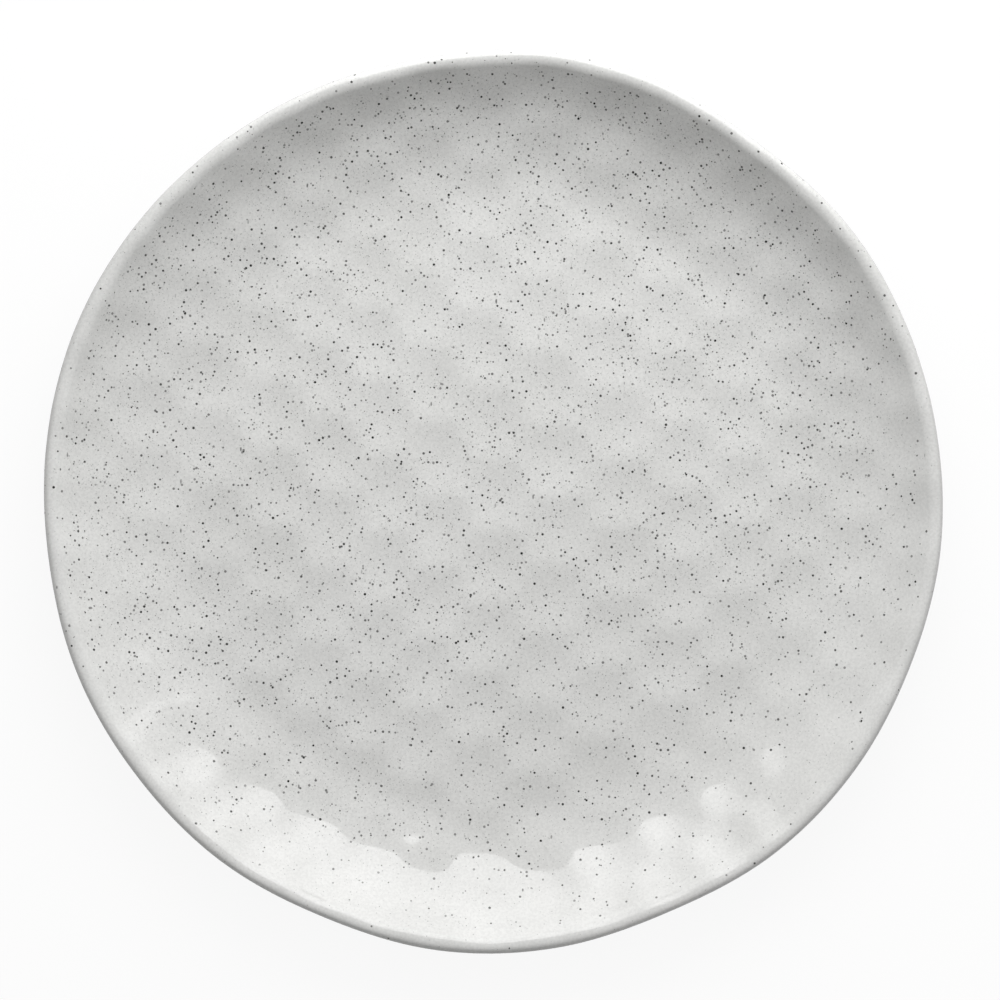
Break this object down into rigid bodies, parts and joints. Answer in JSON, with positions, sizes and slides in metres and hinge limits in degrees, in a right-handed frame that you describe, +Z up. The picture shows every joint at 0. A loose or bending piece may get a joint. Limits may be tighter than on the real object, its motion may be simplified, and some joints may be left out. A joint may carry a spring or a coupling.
{
  "type": "coupe dinner plate",
  "caption": "Round rimless dinner plate in pale speckled stoneware, with a beaten dimpled face, a softly uneven outline, a rounded lip and a bare foot ring.",
  "frame": {"origin": "on the table, under the middle of the plate, at the height of the foot ring's standing face", "axes": "+Z up out of the plate, +X to the right and +Y to the far edge as the picture shows it"},
  "size_m": [0.2696, 0.2718, 0.026],
  "materials": {
    "clay": "fired stoneware under the glaze, bare on the wiped lines",
    "bare_clay": "bare fired stoneware, fine grit, matt",
    "glaze": "pale grey-white gloss glaze with scattered dark iron specks"
  },
  "bodies": {
    "root": {"stoneware_body": "clay", "foot_ring": "bare_clay", "face_glaze": "glaze", "base_glaze": "glaze"}
  },
  "joints": []
}
